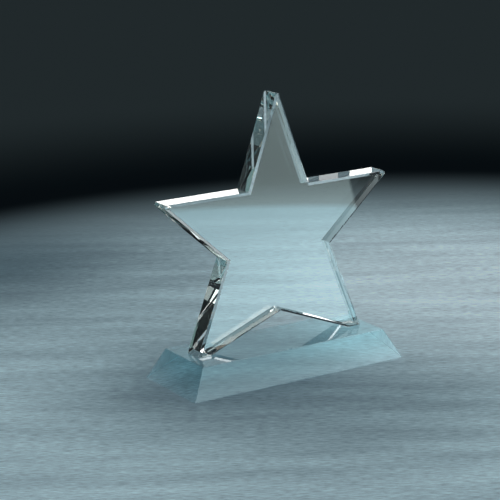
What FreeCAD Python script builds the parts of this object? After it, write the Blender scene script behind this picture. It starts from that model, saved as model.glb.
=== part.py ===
"""Star trophy: a bevelled star plate of clear crystal, bonded by its two feet to a slant-sided base block.

Frame: millimetres, +Z up, origin at the centre of the base's underside. +X runs along the base and
-Y is the front, which the flat face of the star looks towards. The star stands centred on the base.

Every driving dimension is a named cell of the spreadsheet "sizes". Each sub-part is a PartDesign body
whose sketches, features and placement are bound to those cells.
"""
import FreeCAD, Part
import os

import Sketcher

# Driving dimensions, in millimetres. Heights on the star are measured from the plane of its two feet.
SIZES = {
    "base_length": 150.0,        # underside, along X
    "base_width": 58.5,          # underside, along Y
    "base_top_length": 130.0,
    "base_top_width": 44.5,
    "base_height": 18.5,
    "base_arris": 0.3,           # narrow polished flat along every edge of the base
    "bond_thickness": 0.1,       # cured adhesive film between each foot and the base
    "bond_inset": 0.2,           # the film stops this far inside the edge of the foot
    "plate_thickness": 15.0,
    "plate_bevel": 1.25,         # polished bevel round the front face and the back face
    "tip_trim": 3.0,             # cut off each edge where two of them meet at a sharp tip
    "tip_height": 155.7,         # where the edges of the upright arm would meet
    "shoulder_half": 21.3,       # inner corner between the upright arm and a side arm
    "arm_half_span": 80.3,       # where the edges of a side arm would meet
    "arm_height": 96.0,          # level of the side arms' upper edges
    "waist_half": 36.7,          # inner corner between a side arm and a leg
    "waist_height": 56.3,
    "foot_outer_half": 58.7,
    "foot_inner_half": 49.8,
    "arch_height": 19.5,         # apex of the arch between the legs
}

# The star's right half from the upright arm's tip down to the arch: corner, cell for X, cell for Z.
# None stands for zero, which is the axis of symmetry for X and the plane of the feet for Z.
RIGHT_CORNERS = (
    ("tip", None, "tip_height"),
    ("shoulder", "shoulder_half", "arm_height"),
    ("arm", "arm_half_span", "arm_height"),
    ("waist", "waist_half", "waist_height"),
    ("foot_outer", "foot_outer_half", None),
    ("foot_inner", "foot_inner_half", None),
    ("arch", None, "arch_height"),
)

TOUCH = 1e-4       # millimetres within which a point counts as lying on a plane
START, END = 1, 2  # the sketcher's numbers for the two ends of a line
ORIGIN, AXIS_V = (-1, START), -2


def make_sheet(doc):
    """The spreadsheet of driving dimensions: a name beside each value, and the name as its alias."""
    sheet = doc.addObject("Spreadsheet::Sheet", "sizes")
    for row, (name, value) in enumerate(SIZES.items(), start=1):
        sheet.set(f"A{row}", name)
        sheet.set(f"B{row}", str(value))
        sheet.setAlias(f"B{row}", name)
    doc.recompute()
    return sheet


def make_body(doc, label):
    """An empty PartDesign body with that label."""
    body = doc.addObject("PartDesign::Body", label)
    body.Label = label
    return body


def attach(feature, body, role):
    """Lays a sketch or a primitive on one of the body's own origin planes."""
    plane = next(f for f in body.Origin.OriginFeatures if f.Role == role)
    feature.AttachmentSupport = [(plane, "")]
    feature.MapMode = "FlatFace"


def make_sketch(body, name, role):
    """An empty sketch that lies on one of the body's own origin planes."""
    sketch = body.newObject("Sketcher::SketchObject", name)
    attach(sketch, body, role)
    return sketch


def draw_loop(sketch, points):
    """Straight lines through the points, joined end to start and closed."""
    count = len(points)
    for index, point in enumerate(points):
        sketch.addGeometry(Part.LineSegment(point, points[(index + 1) % count]), False)
    for index in range(count):
        sketch.addConstraint(Sketcher.Constraint("Coincident", index, END, (index + 1) % count, START))


def bind(sketch, name, constraint, expression):
    """Adds a constraint with a name and binds its value to an expression on the sheet."""
    number = sketch.addConstraint(constraint)
    sketch.renameConstraint(number, name)
    sketch.setExpression(f"Constraints.{name}", expression)


def draw_centred_rectangle(sketch, length, width):
    """A rectangle centred on the sketch's origin, whose length and width are expressions."""
    corners = ((-1, -1), (1, -1), (1, 1), (-1, 1))
    draw_loop(sketch, [FreeCAD.Vector(x, y, 0) for x, y in corners])
    for line, direction in enumerate(("Horizontal", "Vertical", "Horizontal", "Vertical")):
        sketch.addConstraint(Sketcher.Constraint(direction, line))
    sketch.addConstraint(Sketcher.Constraint("Symmetric", 0, START, 2, START, *ORIGIN))
    bind(sketch, "length", Sketcher.Constraint("DistanceX", 0, START, 0, END, 2.0), length)
    bind(sketch, "width", Sketcher.Constraint("DistanceY", 1, START, 1, END, 2.0), width)


def draw_star(sketch):
    """The star's outline with sharp tips: the right half is held by the sheet, the left mirrors it."""
    right = []
    for _, across, up in RIGHT_CORNERS:
        right.append(FreeCAD.Vector(SIZES.get(across, 0.0), SIZES.get(up, 0.0), 0))
    left = [FreeCAD.Vector(-point.x, point.y, 0) for point in right[-2:0:-1]]
    draw_loop(sketch, right + left)
    count = len(right) + len(left)
    for corner, (name, across, up) in enumerate(RIGHT_CORNERS):
        if across is None:
            sketch.addConstraint(Sketcher.Constraint("PointOnObject", corner, START, AXIS_V))
        else:
            held = Sketcher.Constraint("DistanceX", *ORIGIN, corner, START, SIZES[across])
            bind(sketch, f"{name}_across", held, f"sizes.{across}")
            mirrored = count - corner
            sketch.addConstraint(
                Sketcher.Constraint("Symmetric", corner, START, mirrored, START, AXIS_V)
            )
        if up is None:
            sketch.addConstraint(Sketcher.Constraint("PointOnObject", corner, START, -1))
        else:
            held = Sketcher.Constraint("DistanceY", *ORIGIN, corner, START, SIZES[up])
            bind(sketch, f"{name}_up", held, f"sizes.{up}")


def edges_where(shape, wanted):
    """The names of the shape's edges for whose two end points wanted(point, point) is true."""
    names = []
    for number, edge in enumerate(shape.Edges, start=1):
        if wanted(*(vertex.Point for vertex in edge.Vertexes)):
            names.append(f"Edge{number}")
    return names


def chamfer(body, name, base, edges, size):
    """An equal chamfer on the named edges of a feature, bound to one cell of the sheet."""
    feature = body.newObject("PartDesign::Chamfer", name)
    feature.Base = (base, edges)
    feature.ChamferType = "Equal distance"
    feature.setExpression("Size", f"sizes.{size}")
    return feature


def make_star_plate(doc):
    """The star: a flat plate cut to the outline, its tips trimmed and both faces bevelled all round."""
    body = make_body(doc, "star_plate")
    outline = make_sketch(body, "star_outline", "XZ_Plane")
    draw_star(outline)
    plate = body.newObject("PartDesign::Pad", "star_blank")
    plate.Profile = outline
    plate.SideType = "Symmetric"
    plate.setExpression("Length", "sizes.plate_thickness")
    doc.recompute()

    half_thickness = SIZES["plate_thickness"] / 2

    def at_tip(first, second):
        crosses = abs(first.y - second.y) > half_thickness
        upright = abs(first.z - SIZES["tip_height"]) < TOUCH
        side = abs(abs(first.x) - SIZES["arm_half_span"]) < TOUCH
        return crosses and (upright or side)

    def on_face(first, second):
        return all(abs(abs(point.y) - half_thickness) < TOUCH for point in (first, second)) and (
            abs(first.y - second.y) < TOUCH
        )

    trimmed = chamfer(body, "tip_flats", plate, edges_where(plate.Shape, at_tip), "tip_trim")
    doc.recompute()
    chamfer(body, "face_bevels", trimmed, edges_where(trimmed.Shape, on_face), "plate_bevel")
    body.setExpression("Placement.Base.z", "sizes.base_height + sizes.bond_thickness")
    return body


def make_base_block(doc):
    """The base: a solid block whose four sides slant in from the underside to the top."""
    body = make_body(doc, "base_block")
    block = body.newObject("PartDesign::AdditiveWedge", "base_blank")
    attach(block, body, "XZ_Plane")  # a wedge rises along its own Y, which is +Z on this plane
    bounds = {"X": "base_length", "Z": "base_width", "X2": "base_top_length", "Z2": "base_top_width"}
    for axis, cell in bounds.items():
        block.setExpression(f"{axis}min", f"-sizes.{cell} / 2")
        block.setExpression(f"{axis}max", f"sizes.{cell} / 2")
    block.setExpression("Ymin", "0 mm")
    block.setExpression("Ymax", "sizes.base_height")
    doc.recompute()
    every_edge = edges_where(block.Shape, lambda first, second: True)
    chamfer(body, "base_arrises", block, every_edge, "base_arris")
    return body


def make_foot_bond(doc, label, side):
    """The adhesive film under one foot. side is -1 for the left foot and 1 for the right one."""
    body = make_body(doc, label)
    footprint = make_sketch(body, f"{label}_footprint", "XY_Plane")
    draw_centred_rectangle(
        footprint,
        "sizes.foot_outer_half - sizes.foot_inner_half - 2 * sizes.bond_inset",
        "sizes.plate_thickness - 2 * sizes.plate_bevel - 2 * sizes.bond_inset",
    )
    film = body.newObject("PartDesign::Pad", f"{label}_film")
    film.Profile = footprint
    film.setExpression("Length", "sizes.bond_thickness")
    body.setExpression(
        "Placement.Base.x", f"{side} * (sizes.foot_outer_half + sizes.foot_inner_half) / 2"
    )
    body.setExpression("Placement.Base.z", "sizes.base_height")
    return body


def check(doc, bodies):
    """Stops if any object of the document failed, or a sub-part isn't one valid solid."""
    for item in doc.Objects:
        if {"Invalid", "Error"} & set(item.State):
            raise RuntimeError(f"{item.Label} failed: {item.State}")
        if item.isDerivedFrom("Sketcher::SketchObject") and not item.FullyConstrained:
            raise RuntimeError(f"sketch {item.Label} isn't fully constrained")
    for body in bodies:
        shape = body.Shape
        if shape.isNull() or not shape.isValid() or len(shape.Solids) != 1:
            raise RuntimeError(f"{body.Label} isn't one valid solid")


def check_cuts(body):
    """Stops if a chamfer of the body removed nothing. Prints what each feature left."""
    volume = None
    for feature in body.Group:
        if feature.isDerivedFrom("Sketcher::SketchObject"):
            continue
        left = feature.Shape.Volume
        if volume is not None and not left < volume:
            raise RuntimeError(f"{feature.Label} cut nothing")
        volume = left
        print(f"{body.Label}: {feature.Label} leaves {volume:.1f} mm3")


def main():
    doc = FreeCAD.newDocument("star_trophy")
    make_sheet(doc)
    bodies = [
        make_base_block(doc),
        make_foot_bond(doc, "left_foot_bond", -1),
        make_foot_bond(doc, "right_foot_bond", 1),
        make_star_plate(doc),
    ]
    doc.recompute()
    check(doc, bodies)
    os.makedirs("parts", exist_ok=True)
    for body in bodies:
        check_cuts(body)
        body.Shape.exportStep(f"parts/{body.Label}.step")
        box = body.Shape.BoundBox
        print(f"{body.Label}: X {box.XMin:.2f} {box.XMax:.2f}, Y {box.YMin:.2f} {box.YMax:.2f}, "
              f"Z {box.ZMin:.2f} {box.ZMax:.2f}")


main()
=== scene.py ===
"""Looks of the star trophy: a clear crystal star, its crystal base and the adhesive films between them.

Everything is in metres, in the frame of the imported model: +Z up, the origin at the centre of the
base's underside, the star's flat front towards -Y. Compass angles are measured from +Y towards +X.
"""
import math

import bmesh
import bpy
from mathutils import Matrix, Vector


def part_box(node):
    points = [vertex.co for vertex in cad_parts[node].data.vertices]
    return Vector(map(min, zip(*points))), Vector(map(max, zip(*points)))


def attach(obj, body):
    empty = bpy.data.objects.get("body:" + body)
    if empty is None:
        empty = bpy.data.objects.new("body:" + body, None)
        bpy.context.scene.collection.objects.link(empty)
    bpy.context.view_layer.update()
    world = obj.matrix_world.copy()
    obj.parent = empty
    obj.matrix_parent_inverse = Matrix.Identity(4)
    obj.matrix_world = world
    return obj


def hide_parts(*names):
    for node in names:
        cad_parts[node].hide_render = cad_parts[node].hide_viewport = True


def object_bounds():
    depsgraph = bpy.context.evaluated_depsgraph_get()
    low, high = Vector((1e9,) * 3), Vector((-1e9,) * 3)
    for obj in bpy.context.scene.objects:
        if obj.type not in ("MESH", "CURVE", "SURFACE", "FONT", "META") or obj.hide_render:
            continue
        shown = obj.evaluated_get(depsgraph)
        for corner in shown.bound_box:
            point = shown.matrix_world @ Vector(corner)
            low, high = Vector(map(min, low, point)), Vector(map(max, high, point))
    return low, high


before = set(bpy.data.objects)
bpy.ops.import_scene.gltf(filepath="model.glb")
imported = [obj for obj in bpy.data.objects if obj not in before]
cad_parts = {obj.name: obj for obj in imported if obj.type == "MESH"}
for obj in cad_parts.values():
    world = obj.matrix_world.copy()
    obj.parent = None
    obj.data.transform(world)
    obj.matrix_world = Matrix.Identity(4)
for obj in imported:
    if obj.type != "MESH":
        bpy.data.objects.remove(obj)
cad_low, cad_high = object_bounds()

MM = 0.001

# The camera: where it stands, its compass angle, its tilt below the horizon, its roll and its lens.
CAMERA_PLACE = Vector((-0.5938, -0.9346, 0.3706))
CAMERA_TURN = math.radians(31.678)
CAMERA_TILT = math.radians(14.948)
CAMERA_ROLL = math.radians(-1.143)
CAMERA_LENS = 136.42        # millimetres, on a sensor of SENSOR_WIDTH
SENSOR_WIDTH = 36.0

CRYSTAL_IOR = 1.52
BONDED_IOR = 1.0            # light meets no step where adhesive fills the gap between two pieces
STAR_ARRIS = 0.10 * MM      # rounding of every edge where two polished faces meet
BASE_ARRIS = 0.25 * MM
FILM_GAP = 0.004 * MM       # drawn clearance between a film and the glass above and below it
FILM_CORNER = 0.9 * MM
FILM_CORNER_STEPS = 6
FILM_NECK = 0.03 * MM       # how far the film's edge is drawn in at its middle
FILM_LEVELS = 5             # rings of points from its bottom to its top
FLOOR_SINK = 0.1 * MM       # the base stands this deep: the floor shows through it without a gap
SAME_PLACE = 0.001 * MM

# The tint of each crystal's surface, in clouds between a cool and a clear tone.
STAR_TINTS = ((0.975, 0.99, 0.99), (1.0, 1.0, 1.0))
BASE_TINTS = ((0.83, 0.93, 0.945), (0.90, 0.975, 0.98))
# How fast each crystal takes red, green and blue out of light, per metre. DEPTH_DENSITY exceeds them.
STAR_DEPTH = (1.3, 1.3, 1.8)
BASE_DEPTH = (8.0, 1.0, 0.4)
DEPTH_DENSITY = 10.0
# The tint of adhesive, in patches between thin and thick: on the glass that it touches, and its own.
BONDED_TINTS = ((1.0, 1.0, 1.0), (0.97, 0.99, 0.985))
CURED_TINTS = ((0.99, 1.0, 0.99), (0.93, 0.96, 0.94))

HAZE = (0.56, 0.78, 0.0, 0.022)     # noise between the first two gives roughness between the last two
WAVE_DEPTH = 0.008 * MM             # of the polish's slow waviness
HAIR_DEPTH = 0.0004 * MM            # of its hairlines
GRAIN_DEPTH = 0.1 * MM              # of the floor's grain
# How fine the hairlines are along each axis, in noise cells a metre: one set runs across, one upright.
HAIR_ACROSS = (30.0, 30.0, 700.0)
HAIR_UPRIGHT = (900.0, 40.0, 25.0)

FLOOR_RADIUS = 7.0
FLOOR_PALE = (0.50, 0.68, 0.74)
# Tones of painted light and shade for the pools below: a lit pool, shade, deeper shade, and the base's
# own shadow under its ends.
FLOOR_LIT = (0.72, 0.90, 0.96)
FLOOR_SHADED = (0.24, 0.34, 0.385)
FLOOR_GLOOM = (0.04, 0.085, 0.115)
FLOOR_CONTACT_SHADOW = (0.17, 0.25, 0.29)
# Far off the floor is painted dark, near black and then slate, as shade where the studio is unlit.
FLOOR_DARK = (0.004, 0.007, 0.009)
FLOOR_FAR = (0.030, 0.042, 0.045)
FLOOR_FADE = (0.29, 0.55)   # the pale floor ends between these distances from FADE_CENTRE
FADE_CENTRE = (0.090, -0.056, 0.0)
FLOOR_BEYOND = (0.56, 0.92) # and a slate tone takes over between these
# The grain runs from left to right in the photo's view: cells a metre, darkest and lightest share.
FLOOR_STREAKS = ((150.0, 900.0, 1.0), (0.66, 0.66, 0.68), (1.34, 1.34, 1.32))
FLOOR_BANDS = ((7.0, 42.0, 1.0), (0.84, 0.84, 0.85), (1.16, 1.16, 1.15))
# Pools of light and shade painted on it: compass angle, distance from the object, reach and tone.
FLOOR_POOLS = (
    (math.radians(200), 0.03, 0.20, FLOOR_SHADED),
    (math.radians(-95), 0.04, 0.09, FLOOR_CONTACT_SHADOW),
    (math.radians(95), 0.00, 0.07, FLOOR_CONTACT_SHADOW),
    (math.radians(75), 0.24, 0.26, FLOOR_LIT),
    (math.radians(-12), 0.38, 0.34, FLOOR_SHADED),
    (math.radians(-9), 0.37, 0.17, FLOOR_GLOOM),
)
POOL_CORE = 0.15            # a pool is at its full strength within this share of its reach

# A painted reflection: a glow just above the floor that only mirror-like faces see, brighter near the
# object than past the step.
GLOW_RADIUS = 1.5
GLOW_LIFT = 1 * MM
GLOW_START = 0.070          # it starts this far in front of the star and behind it
GLOW_STEP = (0.42, 0.44)
GLOW_NEAR = (3.1, 4.9, 5.4)
GLOW_FAR = (2.05, 2.7, 2.7)
GLOW_PEAK = 6.0             # the emission's strength, of which the colours are shares
GLOW_BEHIND = (0.28, 0.45, 0.0, 0.45)   # behind the star, between these distances: from share to share
GLOW_SWELL = (0.33, 0.41, 0.95, 1.22)   # the same in front of it
# In front it falls to GLOW_DIM past a line that starts GLOW_SIDE to the right, at GLOW_SIDE_TURN.
GLOW_SIDE = 0.075
GLOW_SIDE_TURN = math.radians(148.3)
GLOW_DIM = 0.12
GLOW_EDGE = 0.003           # how soft that line is

STUDIO_LOW = (0.040, 0.052, 0.060)  # the dark studio's tone at the horizon, and from STUDIO_RISE up
STUDIO_HIGH = (0.012, 0.015, 0.018)
STUDIO_RISE = 0.20

LAMP_DISTANCE = 20.0
# Soft panels all round: compass angle, height, width and tallness in degrees, radiance, colour.
PANELS = {
    "key": (62.0, 60.0, 44.0, 34.0, 3.0, (0.96, 0.98, 1.0)),
    "fill": (-92.0, 52.0, 34.0, 26.0, 1.6, (0.93, 0.97, 1.0)),
    "window_back": (26.8, 12.7, 13.2, 2.7, 4.5, (1.0, 0.99, 0.97)),
    "window_back_bar": (34.25, 12.9, 0.6, 2.6, 0.9, (1.0, 0.98, 0.95)),
    "window_back_side": (35.3, 12.9, 0.7, 2.6, 4.0, (1.0, 0.98, 0.95)),
    "front_card": (147.5, 18.5, 12.0, 7.0, 2.4, (0.80, 0.97, 1.0)),
    "top_card": (33.0, 18.0, 8.0, 3.0, 0.55, (0.80, 0.96, 1.0)),
    "glint_overhead": (-127.0, 79.0, 6.0, 6.0, 4.5, (0.75, 0.88, 1.0)),
    "glint_front": (167.0, 34.0, 5.0, 4.0, 4.0, (1.0, 0.90, 0.74)),
    "left_card": (-23.0, 25.0, 7.0, 6.0, 0.30, (0.55, 0.95, 1.0)),
    "back_card": (-15.0, 36.0, 6.0, 8.0, 0.12, (0.80, 0.97, 1.0)),
    "low_card": (53.0, 5.5, 14.0, 8.0, 0.45, (0.85, 0.97, 1.0)),
    "window_ahead": (-2.0, 13.0, 10.0, 2.6, 3.5, (0.97, 0.99, 1.0)),
    "window_right": (104.0, 13.0, 30.0, 3.0, 3.5, (1.0, 0.98, 0.96)),
    "window_left": (-72.0, 13.0, 26.0, 3.0, 3.5, (0.95, 0.98, 1.0)),
    "window_behind": (-176.0, 13.0, 26.0, 3.0, 3.5, (1.0, 0.99, 0.98)),
}


def add_object(name, data):
    """Puts data into the scene as an object."""
    piece = bpy.data.objects.new(name, data)
    bpy.context.scene.collection.objects.link(piece)
    return piece


def mesh_object(name, mesh):
    """Turns a bmesh into an object, and frees it."""
    data = bpy.data.meshes.new(name)
    mesh.normal_update()
    mesh.to_mesh(data)
    mesh.free()
    return add_object(name, data)


# ---------------------------------------------------------------- materials


class Nodes:
    """A node tree under construction: makes nodes, sets their inputs and links them in one call."""

    def __init__(self, tree):
        self.tree = tree
        tree.nodes.clear()

    def add(self, kind, output=0, settings=None, **inputs):
        """Adds a node and gives the output with that name or number.

        Each further argument is an input: its name, with _ for a space, or i and its number. Its
        value is a number, a colour or another node's output.
        """
        node = self.tree.nodes.new(kind)
        for name, value in (settings or {}).items():
            setattr(node, name, value)
        for name, value in inputs.items():
            socket = node.inputs[int(name[1:]) if name[1:].isdigit() else name.replace("_", " ")]
            if isinstance(value, bpy.types.NodeSocket):
                self.tree.links.new(value, socket)
            else:
                socket.default_value = value
        return node.outputs[output] if len(node.outputs) else node

    def math(self, operation, first, second=0.0):
        return self.add("ShaderNodeMath", settings={"operation": operation}, i0=first, i1=second)

    def ramp(self, factor, *stops):
        """A colour ramp through (position, colour) stops."""
        node = self.tree.nodes.new("ShaderNodeValToRGB")
        elements = node.color_ramp.elements
        while len(elements) < len(stops):
            elements.new(0.5)
        for element, (position, colour) in zip(elements, stops):
            element.position = position
            element.color = (*colour, 1.0)
        self.tree.links.new(factor, node.inputs["Fac"])
        return node.outputs["Color"]

    def mix(self, factor, first, second):
        """A colour between two; each is a socket or plain numbers."""
        node = self.tree.nodes.new("ShaderNodeMix")
        node.data_type = "RGBA"
        self.tree.links.new(factor, node.inputs["Factor"])
        for socket, value in ((node.inputs[6], first), (node.inputs[7], second)):
            if isinstance(value, bpy.types.NodeSocket):
                self.tree.links.new(value, socket)
            else:
                socket.default_value = (*value, 1.0)
        return node.outputs[2]

    def spread(self, value, low, high, to_low, to_high, smooth=False):
        """Maps value from low..high to to_low..to_high, clamped."""
        kind = "SMOOTHSTEP" if smooth else "LINEAR"
        return self.add(
            "ShaderNodeMapRange", settings={"interpolation_type": kind},
            Value=value, From_Min=low, From_Max=high, To_Min=to_low, To_Max=to_high,
        )

    def stretched(self, place, scale):
        """The place with each axis multiplied, which makes a pattern finer along it."""
        return self.add("ShaderNodeMapping", Vector=place, Scale=scale)


def new_material(name):
    """A material and its empty node tree."""
    material = bpy.data.materials.new(name)
    material.use_nodes = True
    return material, Nodes(material.node_tree)


def polished_surface(nodes, place):
    """(roughness, normal) of hand-polished crystal: haze in patches, hairlines, a slow waviness."""
    smear = nodes.add("ShaderNodeTexNoise", Vector=place, Scale=45.0, Detail=5.0, Roughness=0.55)
    roughness = nodes.spread(smear, *HAZE)
    wave = nodes.add("ShaderNodeTexNoise", Vector=place, Scale=38.0, Detail=1.0)
    normal = nodes.add("ShaderNodeBump", Strength=1.0, Distance=WAVE_DEPTH, Height=wave)
    for fineness in (HAIR_ACROSS, HAIR_UPRIGHT):
        lines = nodes.stretched(place, fineness)
        hair = nodes.add("ShaderNodeTexNoise", Vector=lines, Scale=1.0, Detail=2.0)
        groove = nodes.spread(hair, 0.66, 0.72, 1.0, 0.0)
        normal = nodes.add(
            "ShaderNodeBump", Strength=0.35, Distance=HAIR_DEPTH, Height=groove, Normal=normal
        )
    return roughness, normal


def crystal(name, tints, depth):
    """Clear crystal: a faint tint in clouds, a polished surface, and the colour that depth gives."""
    cool, clear = tints
    material, nodes = new_material(name)
    place = nodes.add("ShaderNodeTexCoord", "Object")
    cloud = nodes.add("ShaderNodeTexNoise", Vector=place, Scale=24.0, Detail=3.0)
    tint = nodes.ramp(cloud, (0.35, cool), (0.65, clear))
    roughness, normal = polished_surface(nodes, place)
    shader = nodes.add(
        "ShaderNodeBsdfPrincipled", Base_Color=tint, Roughness=roughness, Normal=normal,
        IOR=CRYSTAL_IOR, Transmission_Weight=1.0,
    )
    kept = [1.0 - taken / DEPTH_DENSITY for taken in depth]
    inside = nodes.add("ShaderNodeVolumeAbsorption", Color=(*kept, 1.0), Density=DEPTH_DENSITY)
    nodes.add("ShaderNodeOutputMaterial", Surface=shader, Volume=inside)
    return material


def bonded_glass(name, tints):
    """Glass against adhesive: light goes straight through, tinted where the film is thicker."""
    thin, thick = tints
    material, nodes = new_material(name)
    place = nodes.add("ShaderNodeTexCoord", "Object")
    patches = nodes.add("ShaderNodeTexNoise", Vector=place, Scale=420.0, Detail=4.0)
    tint = nodes.ramp(patches, (0.40, thin), (0.70, thick))
    shader = nodes.add(
        "ShaderNodeBsdfPrincipled", Base_Color=tint, Roughness=0.0, IOR=BONDED_IOR,
        Transmission_Weight=1.0,
    )
    nodes.add("ShaderNodeOutputMaterial", Surface=shader)
    return material


# ---------------------------------------------------------------- the object's pieces


def flat_faces(node):
    """A bmesh of a CAD node, its triangles merged back into flat faces."""
    mesh = bmesh.new()
    mesh.from_mesh(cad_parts[node].data)
    bmesh.ops.remove_doubles(mesh, verts=mesh.verts, dist=SAME_PLACE)
    bmesh.ops.dissolve_limit(
        mesh, angle_limit=math.radians(0.5), verts=mesh.verts, edges=mesh.edges
    )
    return mesh


def round_arrises(mesh, arris):
    """Rounds every edge a little, as polishing does, and joins the points where two roundings meet."""
    bmesh.ops.bevel(
        mesh, geom=list(mesh.edges), offset=arris, segments=2, profile=0.5, affect="EDGES",
        clamp_overlap=True,
    )
    bmesh.ops.remove_doubles(mesh, verts=mesh.verts, dist=SAME_PLACE)


def mark_bonded(mesh, level, films):
    """Cuts the films' outlines into the flat faces at that level, and marks what they cover."""

    def level_faces():
        return [
            face for face in mesh.faces
            if abs(face.normal.z) > 0.999 and abs(face.calc_center_median().z - level) < SAME_PLACE
        ]

    mesh.normal_update()
    for low, high in films:
        for axis in (0, 1):
            for limit in (low[axis], high[axis]):
                faces = level_faces()
                edges = {edge for face in faces for edge in face.edges}
                corners = {corner for face in faces for corner in face.verts}
                across = Vector((1, 0, 0)) if axis == 0 else Vector((0, 1, 0))
                bmesh.ops.bisect_plane(
                    mesh, geom=[*corners, *edges, *faces], dist=SAME_PLACE,
                    plane_co=across * limit, plane_no=across,
                )
                mesh.normal_update()
    for face in level_faces():
        centre = face.calc_center_median()
        for low, high in films:
            if low.x < centre.x < high.x and low.y < centre.y < high.y:
                face.material_index = 1


def make_crystal_piece(name, node, arris, level, films, materials):
    """The visible piece for a crystal CAD node. materials are its crystal and its bonded glass."""
    mesh = flat_faces(node)
    round_arrises(mesh, arris)
    mark_bonded(mesh, level, films)
    piece = mesh_object(name, mesh)
    for material in materials:
        piece.data.materials.append(material)
    piece.visible_shadow = False        # lamp light passes through clear crystal to the floor
    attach(piece, "root")
    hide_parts(node)
    return piece


def rounded_outline(low, high, radius, inset):
    """Points round a rectangle with rounded corners, drawn in by inset."""
    points = []
    corners = ((high.x, high.y, 0), (low.x, high.y, 90), (low.x, low.y, 180), (high.x, low.y, 270))
    middle = (low + high) / 2
    for x, y, start in corners:
        centre_x = x - math.copysign(radius, x - middle.x)
        centre_y = y - math.copysign(radius, y - middle.y)
        for step in range(FILM_CORNER_STEPS + 1):
            angle = math.radians(start + 90 * step / FILM_CORNER_STEPS)
            points.append((
                centre_x + (radius - inset) * math.cos(angle),
                centre_y + (radius - inset) * math.sin(angle),
            ))
    return points


def make_film(name, node, material):
    """A cured adhesive film: thin, with rounded corners and an edge that necks in."""
    low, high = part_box(node)
    bottom = low.z + FILM_GAP
    top = high.z - FILM_GAP
    mesh = bmesh.new()
    rings = []
    for level in range(FILM_LEVELS):
        share = level / (FILM_LEVELS - 1)
        inset = FILM_NECK * math.sin(math.pi * share)
        height = bottom + (top - bottom) * share
        outline = rounded_outline(low, high, FILM_CORNER, inset)
        rings.append([mesh.verts.new((x, y, height)) for x, y in outline])
    for lower, upper in zip(rings, rings[1:]):
        for index, corner in enumerate(lower):
            after = (index + 1) % len(lower)
            mesh.faces.new((corner, lower[after], upper[after], upper[index]))
    mesh.faces.new(list(reversed(rings[0])))
    mesh.faces.new(rings[-1])
    piece = mesh_object(name, mesh)
    piece.data.materials.append(material)
    piece.visible_shadow = False
    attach(piece, "root")
    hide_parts(node)
    return piece


# ---------------------------------------------------------------- the studio


def make_camera():
    """The camera at the photograph's viewpoint."""
    data = bpy.data.cameras.new("camera")
    data.sensor_width = SENSOR_WIDTH
    data.lens = CAMERA_LENS
    camera = add_object("camera", data)
    turn = Matrix.Rotation(-CAMERA_TURN, 4, "Z")
    tilt = Matrix.Rotation(math.pi / 2 - CAMERA_TILT, 4, "X")
    roll = Matrix.Rotation(CAMERA_ROLL, 4, "Z")
    camera.matrix_world = Matrix.Translation(CAMERA_PLACE) @ turn @ tilt @ roll
    bpy.context.scene.camera = camera


def distance_from(nodes, place, spot):
    """How far the place is from the spot."""
    return nodes.add("ShaderNodeVectorMath", "Value", {"operation": "DISTANCE"}, i0=place, i1=spot)


def make_floor():
    """A pale, softly grained floor round the object with painted pools of light and shade; far off it
    is painted dark, as the unlit studio.
    """
    mesh = bmesh.new()
    bmesh.ops.create_circle(mesh, cap_ends=True, radius=FLOOR_RADIUS, segments=128)
    floor = mesh_object("floor", mesh)
    floor.location.z = cad_low.z + FLOOR_SINK
    material, nodes = new_material("floor")
    place = nodes.add("ShaderNodeTexCoord", "Object")
    # The pale floor is painted dark far off, as the unlit studio's shade.
    away = distance_from(nodes, place, FADE_CENTRE)
    fade = nodes.spread(away, *FLOOR_FADE, 0.0, 1.0, smooth=True)
    beyond = nodes.spread(away, *FLOOR_BEYOND, 0.0, 1.0, smooth=True)
    far = nodes.ramp(beyond, (0.0, FLOOR_DARK), (1.0, FLOOR_FAR))
    colour = nodes.mix(fade, FLOOR_PALE, far)
    # Painted pools of light and shade, faded out where the floor is painted dark.
    for turn, distance, reach, tone in FLOOR_POOLS:
        spot = (distance * math.sin(turn), distance * math.cos(turn), 0)
        off = distance_from(nodes, place, spot)
        near = nodes.spread(off, POOL_CORE * reach, reach, 1.0, 0.0, smooth=True)
        share = nodes.math("MULTIPLY", near, nodes.math("SUBTRACT", 1.0, fade))
        colour = nodes.mix(share, colour, tone)
    turned = nodes.add("ShaderNodeMapping", Vector=place, Rotation=(0, 0, CAMERA_TURN))
    fineness, dark, light = FLOOR_STREAKS
    streaks = nodes.stretched(turned, fineness)
    grain = nodes.add("ShaderNodeTexNoise", Vector=streaks, Scale=1.0, Detail=6.0, Roughness=0.65)
    streaky = nodes.ramp(grain, (0.32, dark), (0.68, light))
    fineness, dark, light = FLOOR_BANDS
    bands = nodes.stretched(turned, fineness)
    broad = nodes.add("ShaderNodeTexNoise", Vector=bands, Scale=1.0, Detail=4.0, Roughness=0.6)
    banded = nodes.ramp(broad, (0.34, dark), (0.66, light))
    grained = colour
    for pattern in (streaky, banded):
        grained = nodes.add(
            "ShaderNodeVectorMath", settings={"operation": "MULTIPLY"}, i0=grained, i1=pattern
        )
    grained = nodes.mix(fade, grained, colour)
    bump = nodes.add("ShaderNodeBump", Strength=0.4, Distance=GRAIN_DEPTH, Height=grain)
    shader = nodes.add(
        "ShaderNodeBsdfPrincipled", Base_Color=grained, Roughness=0.9, Specular_IOR_Level=0.0,
        Normal=bump,
    )
    nodes.add("ShaderNodeOutputMaterial", Surface=shader)
    floor.data.materials.append(material)


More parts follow.
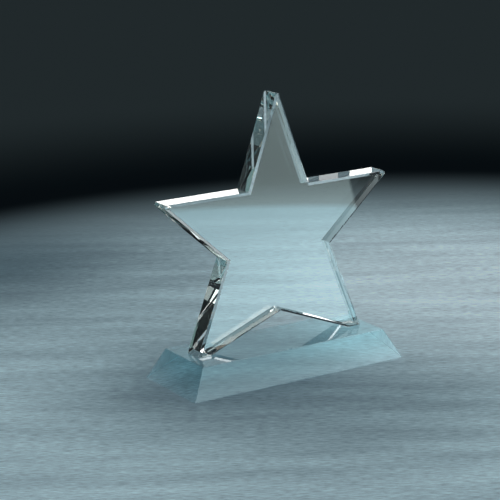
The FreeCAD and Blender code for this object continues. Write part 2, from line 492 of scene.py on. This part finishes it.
def make_painted_reflection():
    """A painted reflection of a bright floor, which only polished faces mirror. Nothing else sees it,
    and it lights nothing.
    """
    mesh = bmesh.new()
    bmesh.ops.create_circle(mesh, cap_ends=True, radius=GLOW_RADIUS, segments=96)
    for side in (-1, 1):
        everything = [*mesh.verts, *mesh.edges, *mesh.faces]
        bmesh.ops.bisect_plane(
            mesh, geom=everything, plane_co=(0, side * GLOW_START, 0), plane_no=(0, 1, 0)
        )
    under = [face for face in mesh.faces if abs(face.calc_center_bounds().y) < GLOW_START / 2]
    bmesh.ops.delete(mesh, geom=under, context="FACES")
    glow = mesh_object("painted_reflection_glow", mesh)
    glow.location.z = GLOW_LIFT
    material, nodes = new_material("painted_reflection_glow")
    place = nodes.add("ShaderNodeTexCoord", "Object")
    away = nodes.add("ShaderNodeVectorMath", "Value", {"operation": "LENGTH"}, i0=place)
    step = nodes.spread(away, *GLOW_STEP, 0.0, 1.0)
    near = [part / GLOW_PEAK for part in GLOW_NEAR]
    far = [part / GLOW_PEAK for part in GLOW_FAR]
    colour = nodes.mix(step, near, far)
    backward = nodes.add("ShaderNodeSeparateXYZ", "Y", Vector=place)
    front = nodes.spread(backward, -GLOW_START, GLOW_START, 1.0, 0.0)
    right = nodes.add(
        "ShaderNodeVectorMath", "Value", {"operation": "DOT_PRODUCT"}, i0=place,
        i1=(-math.cos(GLOW_SIDE_TURN), math.sin(GLOW_SIDE_TURN), 0),
    )
    line = -GLOW_SIDE * math.cos(GLOW_SIDE_TURN)
    lit = nodes.spread(right, line, line + GLOW_EDGE, 1.0, GLOW_DIM)
    swell = nodes.spread(away, *GLOW_SWELL, smooth=True)
    ahead = nodes.math("MULTIPLY", swell, nodes.math("MULTIPLY", front, lit))
    rise = nodes.spread(away, *GLOW_BEHIND, smooth=True)
    behind = nodes.math("MULTIPLY", nodes.math("SUBTRACT", 1.0, front), rise)
    strength = nodes.math("MULTIPLY", nodes.math("ADD", ahead, behind), GLOW_PEAK)
    light = nodes.add("ShaderNodeEmission", Color=colour, Strength=strength)
    nodes.add("ShaderNodeOutputMaterial", Surface=light)
    glow.data.materials.append(material)
    for ray in ("camera", "diffuse", "transmission", "shadow", "volume_scatter"):
        setattr(glow, f"visible_{ray}", False)


def make_panel(name, turn, height, width, tallness, radiance, colour):
    """A soft panel far off in that direction, sized by the angles that it fills."""
    data = bpy.data.lights.new(name, "AREA")
    data.shape = "RECTANGLE"
    data.size = 2 * LAMP_DISTANCE * math.tan(math.radians(width / 2))
    data.size_y = 2 * LAMP_DISTANCE * math.tan(math.radians(tallness / 2))
    data.energy = radiance * math.pi * data.size * data.size_y      # power is pi * area * radiance
    data.color = colour
    lamp = add_object(name, data)
    around = Matrix.Rotation(math.radians(-turn), 4, "Z")
    up = Matrix.Rotation(math.radians(90 + height), 4, "X")
    back = Matrix.Translation((0, 0, -LAMP_DISTANCE))
    face = Matrix.Rotation(math.pi, 4, "Y")
    lamp.matrix_world = around @ up @ back @ face
    lamp.visible_camera = False


def make_world():
    """The dark studio, a little lighter low down."""
    world = bpy.data.worlds.new("studio")
    world.use_nodes = True
    nodes = Nodes(world.node_tree)
    way = nodes.add("ShaderNodeTexCoord", "Generated")
    split = nodes.add("ShaderNodeSeparateXYZ", "Z", Vector=way)
    colour = nodes.ramp(split, (0.0, STUDIO_LOW), (STUDIO_RISE, STUDIO_HIGH))
    background = nodes.add("ShaderNodeBackground", Color=colour)
    nodes.add("ShaderNodeOutputWorld", Surface=background)
    bpy.context.scene.world = world


star_glass = crystal("star_glass", STAR_TINTS, STAR_DEPTH)
base_glass = crystal("base_glass", BASE_TINTS, BASE_DEPTH)
bonded = bonded_glass("bonded_face", BONDED_TINTS)
adhesive = bonded_glass("cured_film", CURED_TINTS)

FILMS = ("left_foot_bond", "right_foot_bond")
film_boxes = [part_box(node) for node in FILMS]
feet_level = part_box("star_plate")[0].z
top_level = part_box("base_block")[1].z

make_crystal_piece(
    "star", "star_plate", STAR_ARRIS, feet_level, film_boxes, (star_glass, bonded)
)
make_crystal_piece(
    "base", "base_block", BASE_ARRIS, top_level, film_boxes, (base_glass, bonded)
)
for film_node in FILMS:
    make_film(film_node.replace("bond", "film"), film_node, adhesive)

make_camera()
make_world()
make_floor()
make_painted_reflection()
for panel_name, panel in PANELS.items():
    make_panel(panel_name, *panel)

scene = bpy.context.scene
scene.view_settings.view_transform = "Standard"
scene.cycles.max_bounces = 40
scene.cycles.glossy_bounces = 32
scene.cycles.transmission_bounces = 40
